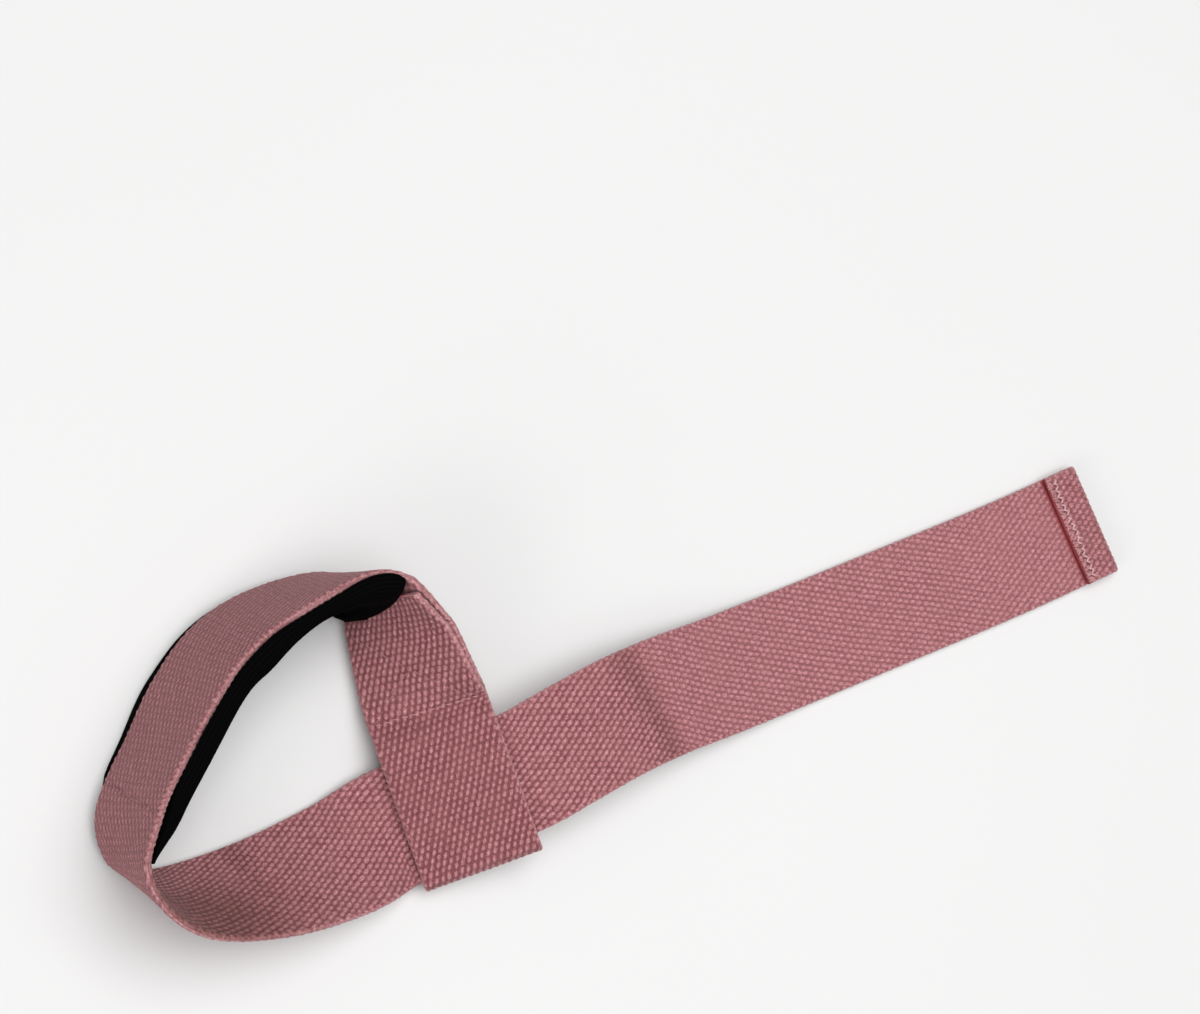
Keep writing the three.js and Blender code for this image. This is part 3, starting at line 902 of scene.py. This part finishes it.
def webbing_material():
    # Painted shade and highlight: the weave's valleys are coloured darker and its crests lighter, by the
    # relief's height
    valley_shade = (0.15, 0.04, 0.045, 1)
    flank = (0.45, 0.187, 0.205, 1)
    crest = (0.7, 0.358, 0.388, 1)
    dark_strand = (0.25, 0.085, 0.095, 1)
    dark_fuzz = (0.3, 0.11, 0.12, 1)
    pale_fuzz = (0.59, 0.3, 0.315, 1)
    faded = (0.36, 0.15, 0.15, 1)
    # Tint of the painted shade on the loop's outside, in the bend's inside and in stripes across the inner
    # face
    painted_shade_tint = (0.54, 0.475, 0.44, 1)
    # Maroon of the cut ends, partly the yarn's colour and partly painted shade; in the groove before the hem
    # it is painted shadow
    dark_cut = (0.34, 0.034, 0.04, 1)
    bright_cut = (0.56, 0.085, 0.1, 1)
    strand_angle = math.radians(32)

    nodes = Nodes("webbing")
    relief, edge, cut_and_shadow = (nodes.attribute(name) for name in ("relief", "edge", "cut_and_shadow"))
    turned = nodes.band_place()
    turned.inputs["Rotation"].default_value = (0, 0, strand_angle)
    strands = nodes.add("ShaderNodeMapping")
    nodes.link(turned.outputs[0], strands.inputs["Vector"])
    strands.inputs["Scale"].default_value = (7, 27, 1)
    fibre = nodes.noise(strands.outputs[0], 1.0, 4.0)
    plain = nodes.band_place().outputs[0]
    patch = nodes.noise(plain, 0.9, 2.0)
    mottle = nodes.noise(plain, 9.0, 3.0)
    speck = nodes.noise(plain, 22.0, 2.0)
    lump = nodes.noise(plain, 15.0, 3.0)
    fuzz = nodes.noise(plain, 60.0, 4.0)
    # Painted shade in the valleys between the floats, and painted highlight on their crests
    low = nodes.mix(nodes.spread(relief, 0.0, 0.42), valley_shade, flank)
    woven = nodes.mix(nodes.spread(relief, 0.4, 0.92), low, crest)
    woven = nodes.mix(nodes.spread(fibre, 0.35, 0.7, 0.0, 0.5), woven, dark_strand)
    woven = nodes.mix(0.85, woven, nodes.spread(speck, 0.36, 0.64, 0.55, 1.42), "MULTIPLY")
    woven = nodes.mix(nodes.spread(mottle, 0.4, 0.7, 0.0, 0.25), woven, dark_fuzz)
    woven = nodes.mix(nodes.spread(patch, 0.35, 0.7, 0.0, 0.2), woven, faded)
    fringe = nodes.mix(nodes.spread(lump, 0.38, 0.6), dark_fuzz, pale_fuzz)
    colour = nodes.mix(nodes.spread(edge, 0.4, 0.95), woven, fringe)
    # Painted shade: the colour is darkened by this tint, by the share that the mesh carries
    shaded_colour = nodes.mix(1.0, colour, painted_shade_tint, "MULTIPLY")
    colour = nodes.mix(nodes.attribute("painted_shade"), colour, shaded_colour)
    # Cut ends, and painted shadow in the groove before the hem's end
    frayed_and_shadow = nodes.mix(nodes.spread(fuzz, 0.35, 0.65), dark_cut, bright_cut)
    colour = nodes.mix(cut_and_shadow, colour, frayed_and_shadow)
    nodes.link(colour, nodes.shader.inputs["Base Color"])
    strand_bump = nodes.bump(fibre, 0.00022)
    normal = nodes.bump(fuzz, 0.00012, normal=strand_bump)
    nodes.link(normal, nodes.shader.inputs["Normal"])
    roughness = nodes.spread(fibre, 0.2, 0.8, 0.95, 0.8)
    nodes.link(roughness, nodes.shader.inputs["Roughness"])
    nodes.shader.inputs["Specular IOR Level"].default_value = 0.25
    nodes.shader.inputs["Sheen Weight"].default_value = 0.12
    nodes.shader.inputs["Sheen Roughness"].default_value = 0.5
    return nodes.material


def pad_material():
    # Painted shade and highlight: the knit's grooves are coloured darker and its ribs lighter, by the ribs'
    # height
    valley_shade = (0.0006, 0.0006, 0.0006, 1)
    rib = (0.0024, 0.0022, 0.0024, 1)
    dust = (0.02, 0.018, 0.019, 1)

    nodes = Nodes("pad")
    relief = nodes.attribute("relief")
    plain = nodes.band_place().outputs[0]
    knit = nodes.noise(plain, 28.0, 3.0)
    lint = nodes.noise(plain, 75.0, 4.0)
    colour = nodes.mix(nodes.spread(relief, 0.1, 0.9), valley_shade, rib)
    colour = nodes.mix(nodes.spread(lint, 0.6, 0.75, 0.0, 0.5), colour, dust)
    nodes.link(colour, nodes.shader.inputs["Base Color"])
    nodes.link(nodes.bump(knit, 0.0003), nodes.shader.inputs["Normal"])
    nodes.link(nodes.spread(lint, 0.3, 0.7, 0.8, 0.95), nodes.shader.inputs["Roughness"])
    nodes.shader.inputs["Specular IOR Level"].default_value = 0.02
    return nodes.material


def thread_material(name, dark, light):
    nodes = Nodes(name)
    place = nodes.add("ShaderNodeTexCoord").outputs["Object"]
    twist = nodes.noise(place, 1500.0, 2.0)
    nodes.link(nodes.mix(twist, dark, light), nodes.shader.inputs["Base Color"])
    nodes.link(nodes.bump(twist, 0.0001), nodes.shader.inputs["Normal"])
    nodes.shader.inputs["Roughness"].default_value = 0.6
    return nodes.material


def floor_material():
    nodes = Nodes("floor")
    place = nodes.add("ShaderNodeTexCoord").outputs["Object"]
    tone = nodes.noise(place, 3.0, 2.0)
    nodes.link(nodes.mix(tone, (0.7, 0.7, 0.7, 1), (0.72, 0.72, 0.72, 1)), nodes.shader.inputs["Base Color"])
    nodes.shader.inputs["Roughness"].default_value = 1.0
    nodes.shader.inputs["Specular IOR Level"].default_value = 0.0
    return nodes.material


# Pieces

webbing = webbing_material()
pale_thread = thread_material("pale_thread", (0.36, 0.16, 0.17, 1), (0.8, 0.52, 0.53, 1))
pink_thread = thread_material("pink_thread", (0.34, 0.135, 0.145, 1), (0.66, 0.35, 0.37, 1))
rose_thread = thread_material("rose_thread", (0.28, 0.11, 0.12, 1), (0.46, 0.22, 0.24, 1))

# Where each stretch of the band gives way to the next, and how finely they are drawn. A face that is out
# of sight has fewer columns.
LOOP_FROM = MAIN_AT + 45
BEND_FROM = MAIN_AT + 214
PASS_FROM = MAIN_AT + 325
TAIL_FROM = MAIN_AT + 434
FINE = 112
HALF_FINE = 56
COARSE = 28
ROW_STEP = 0.45
TAIL_ROW_STEP = 0.47

webbing_piece("webbing_eye", 0, LOOP_FROM, FINE, COARSE, ROW_STEP, webbing)
webbing_piece("webbing_loop", LOOP_FROM, BEND_FROM, FINE, COARSE, ROW_STEP, webbing)
webbing_piece("webbing_bend", BEND_FROM, PASS_FROM, FINE, FINE, ROW_STEP, webbing)
webbing_piece("webbing_pass", PASS_FROM, TAIL_FROM, FINE, FINE, ROW_STEP, webbing)
webbing_piece("webbing_tail", TAIL_FROM, BAND_LENGTH, HALF_FINE, FINE, TAIL_ROW_STEP, webbing)
pad_piece(pad_material())

SEAM_PITCH = 2.8
PAD_SEAM_PITCH = 2.6
HEM_PITCH = 2.3
HEM_ZIGZAG = (BAND_LENGTH - 3.1, BAND_LENGTH - 1.7)
HEM_ZIGZAG_HALF = HALF_WIDTH - 1.5
HEM_FRAY_AT = BAND_LENGTH - 0.3

seam = dashes(EYE_SEAM, SEAM_PITCH, share=0.75, height=0.33, seed=1)
thread_piece("seam_stitches", seam, pink_thread, radius=0.17)
crosses = dashes(RISING_CROSS, SEAM_PITCH, share=0.7, height=0.34, seed=2)
crosses += dashes(FALLING_CROSS, SEAM_PITCH, share=0.7, height=0.24, seed=3)
thread_piece("cross_stitches", crosses, rose_thread, radius=0.16)
pad_seams = dashes(PAD_END_SEAM, PAD_SEAM_PITCH, share=0.7, height=0.1, seed=4)
pad_seams += dashes(PAD_START_SEAM, PAD_SEAM_PITCH, share=0.7, height=0.1, seed=5)
thread_piece("pad_seam_stitches", pad_seams, rose_thread, radius=0.17)
hem_zigzag = zigzag(*HEM_ZIGZAG, HEM_ZIGZAG_HALF, HEM_PITCH, height=0.62, seed=6)
thread_piece("hem_stitches", hem_zigzag, pale_thread, radius=0.33)
thread_piece("hem_fray", tufts(HEM_FRAY_AT, count=78, seed=8), pink_thread, radius=0.21)

# Floor, light and camera
FLOOR_HALF = 3.0
FLOOR_BELOW = 0.0003
SKY_AT_HORIZON = 0.12
SKY_OVERHEAD = 0.5
SOFT_WHITE = (1.0, 0.998, 0.995)


def look(obj, place, target, roll_up):
    back = unit(np.array(place) - np.array(target))
    right = unit(np.cross(roll_up, back))
    up = np.cross(back, right)
    turn = Matrix(np.stack([right, up, back], axis=1).tolist()).to_4x4()
    obj.matrix_world = Matrix.Translation(Vector(place)) @ turn


def area_light(name, place, size, power):
    data = bpy.data.lights.new(name, "AREA")
    data.shape = "RECTANGLE"
    data.size = size
    data.size_y = size
    data.energy = power
    data.color = SOFT_WHITE
    light = bpy.data.objects.new(name, data)
    bpy.context.scene.collection.objects.link(light)
    look(light, place, (0, 0, 0), UP)


def floor():
    mesh = bpy.data.meshes.new("floor")
    signs = [(-1, -1), (1, -1), (1, 1), (-1, 1)]
    corners = [(x * FLOOR_HALF, y * FLOOR_HALF, -FLOOR_BELOW) for x, y in signs]
    mesh.from_pydata(corners, [], [(0, 1, 2, 3)])
    mesh.materials.append(floor_material())
    plane = bpy.data.objects.new("floor", mesh)
    bpy.context.scene.collection.objects.link(plane)


def studio_sky():
    """A white sky that grows brighter from the horizon to overhead."""
    world = bpy.data.worlds.new("studio")
    world.use_nodes = True
    sky = world.node_tree.nodes
    direction = sky.new("ShaderNodeTexCoord")
    heights = sky.new("ShaderNodeSeparateXYZ")
    brightness = sky.new("ShaderNodeMapRange")
    brightness.inputs["From Min"].default_value = 0.0
    brightness.inputs["To Min"].default_value = SKY_AT_HORIZON
    brightness.inputs["To Max"].default_value = SKY_OVERHEAD
    world.node_tree.links.new(direction.outputs["Generated"], heights.inputs[0])
    world.node_tree.links.new(heights.outputs["Z"], brightness.inputs["Value"])
    world.node_tree.links.new(brightness.outputs[0], sky["Background"].inputs["Strength"])
    sky["Background"].inputs["Color"].default_value = (1, 1, 1, 1)
    return world


floor()
scene = bpy.context.scene
scene.world = studio_sky()
scene.view_settings.view_transform = "Standard"
scene.view_settings.look = "None"

area_light("overhead", (0.15, 0.06, 1.4), size=1.4, power=21.6)
area_light("left", (-1.1, -0.35, 0.5), size=0.8, power=4.8)

# The camera's place in the photograph, about the middle of the eye's crossing
CAMERA_ELEVATION = math.radians(70.03)
CAMERA_ROLL = math.radians(66.494)
CAMERA_DISTANCE = 1033.9
CAMERA_TARGET = np.array([83.5, 64.72, 0.0])
FOCAL_PIXELS = 3262.77
IMAGE_WIDTH = 1200
SENSOR_WIDTH = 36
CLIP_START = 0.05

back = np.array([-math.cos(CAMERA_ELEVATION), 0, math.sin(CAMERA_ELEVATION)])
level_right = np.array([0.0, -1.0, 0.0])
level_up = np.cross(back, level_right)
picture_up = level_up * math.cos(CAMERA_ROLL) - level_right * math.sin(CAMERA_ROLL)
target = (CAMERA_TARGET + OFFSET) * MM
camera_data = bpy.data.cameras.new("camera")
camera_data.sensor_width = SENSOR_WIDTH
camera_data.lens = FOCAL_PIXELS / IMAGE_WIDTH * SENSOR_WIDTH
camera_data.clip_start = CLIP_START
camera = bpy.data.objects.new("camera", camera_data)
scene.collection.objects.link(camera)
look(camera, target + back * CAMERA_DISTANCE * MM, target, picture_up)
scene.camera = camera
